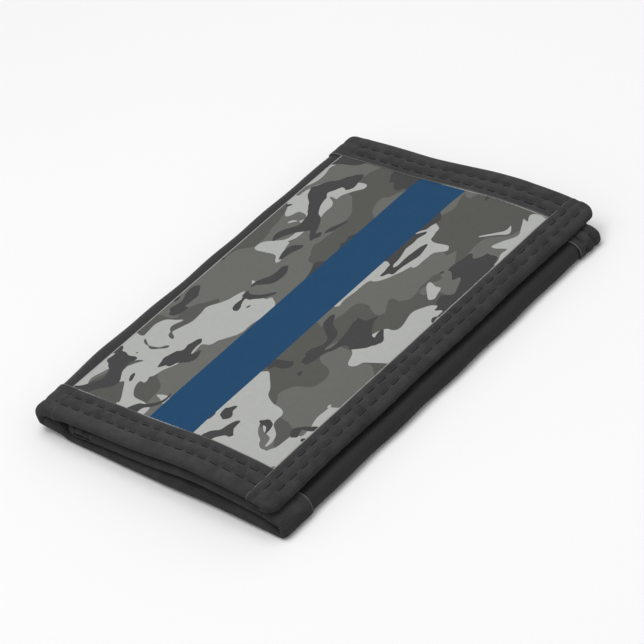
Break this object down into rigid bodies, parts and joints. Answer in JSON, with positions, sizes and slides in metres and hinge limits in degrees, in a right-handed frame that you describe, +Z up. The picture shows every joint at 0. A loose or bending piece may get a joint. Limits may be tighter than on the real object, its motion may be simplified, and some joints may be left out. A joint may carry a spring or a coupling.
{
  "type": "trifold wallet",
  "caption": "Folded nylon trifold wallet with a printed outer panel, taped edges, hook-and-loop closure and a zipped coin pocket; it opens at two soft folds.",
  "frame": {"origin": "middle of the underside of the closed wallet, on the surface it lies on", "axes": "+X from the left fold to the right fold, +Y along the fold lines, +Z up, out of the printed panel"},
  "size_m": [0.085, 0.1206, 0.0104],
  "materials": {
    "binding_tape": "charcoal ribbed polyester binding tape",
    "outer_nylon": "near-black coated nylon twill",
    "printed_cloth": "plain-weave nylon printed in grey camouflage with one blue band",
    "lining_nylon": "thin black coated nylon",
    "clear_vinyl": "clear soft vinyl",
    "hook_tape": "black hook tape",
    "loop_tape": "black loop tape",
    "zip_tape": "black woven zip tape",
    "zip_teeth": "black moulded teeth",
    "zip_metal": "black enamelled zinc"
  },
  "bodies": {
    "centre": {"shell_centre": "outer_nylon", "lining_centre": "lining_nylon", "card_pocket_centre_back": "lining_nylon", "card_pocket_centre_front": "lining_nylon", "binding_centre_near": "binding_tape", "binding_centre_far": "binding_tape", "fold_left": "outer_nylon", "fold_left_tape_near": "binding_tape", "fold_left_tape_far": "binding_tape", "fold_right": "outer_nylon", "fold_right_tape_near": "binding_tape", "fold_right_tape_far": "binding_tape"},
    "flap": {"shell_flap": "outer_nylon", "printed_panel": "printed_cloth", "lining_flap": "lining_nylon", "binding_flap_near": "binding_tape", "binding_flap_far": "binding_tape", "binding_flap_edge": "binding_tape", "hook_strip": "hook_tape", "id_pocket_frame": "outer_nylon", "id_window": "clear_vinyl"},
    "leaf": {"coin_pocket_front": "outer_nylon", "coin_pocket_side": "outer_nylon", "loop_strip": "loop_tape", "shell_leaf": "outer_nylon", "lining_leaf": "lining_nylon", "card_pocket_leaf": "lining_nylon", "binding_leaf_near": "binding_tape", "binding_leaf_far": "binding_tape", "binding_leaf_edge": "binding_tape", "zip_tape_left": "zip_tape", "zip_tape_right": "zip_tape", "zip_teeth_left": "zip_teeth", "zip_teeth_right": "zip_teeth", "zip_stops": "zip_teeth"},
    "slider": {"zip_slider": "zip_metal"},
    "pull": {"zip_pull": "zip_metal"}
  },
  "joints": [
    {"name": "flap_fold", "type": "hinge", "parent": "centre", "child": "flap", "pos_m": [-0.0425, 0, 0.00525], "axis": [0, -1, 0], "range_deg": [0, 180], "deforming": ["fold_left", "fold_left_tape_near", "fold_left_tape_far"]},
    {"name": "leaf_fold", "type": "hinge", "parent": "centre", "child": "leaf", "pos_m": [0.0425, 0, 0.00252], "axis": [0, 1, 0], "range_deg": [0, 180], "deforming": ["fold_right", "fold_right_tape_near", "fold_right_tape_far"]},
    {"name": "zip_slide", "type": "slide", "parent": "leaf", "child": "slider", "axis": [0, 1, 0], "range_m": [0, 0.0858], "deforming": ["zip_teeth_left", "zip_teeth_right"]},
    {"name": "pull_swing", "type": "hinge", "parent": "slider", "child": "pull", "pos_m": [0.013, -0.04387, 0.00788], "axis": [1, 0, 0], "range_deg": [0, 150]}
  ],
  "couplings": [
    {"joint": "leaf_fold", "follows": "flap_fold", "ratio": 0.13},
    {"joint": "pull_swing", "follows": "flap_fold", "ratio": 0.5}
  ]
}
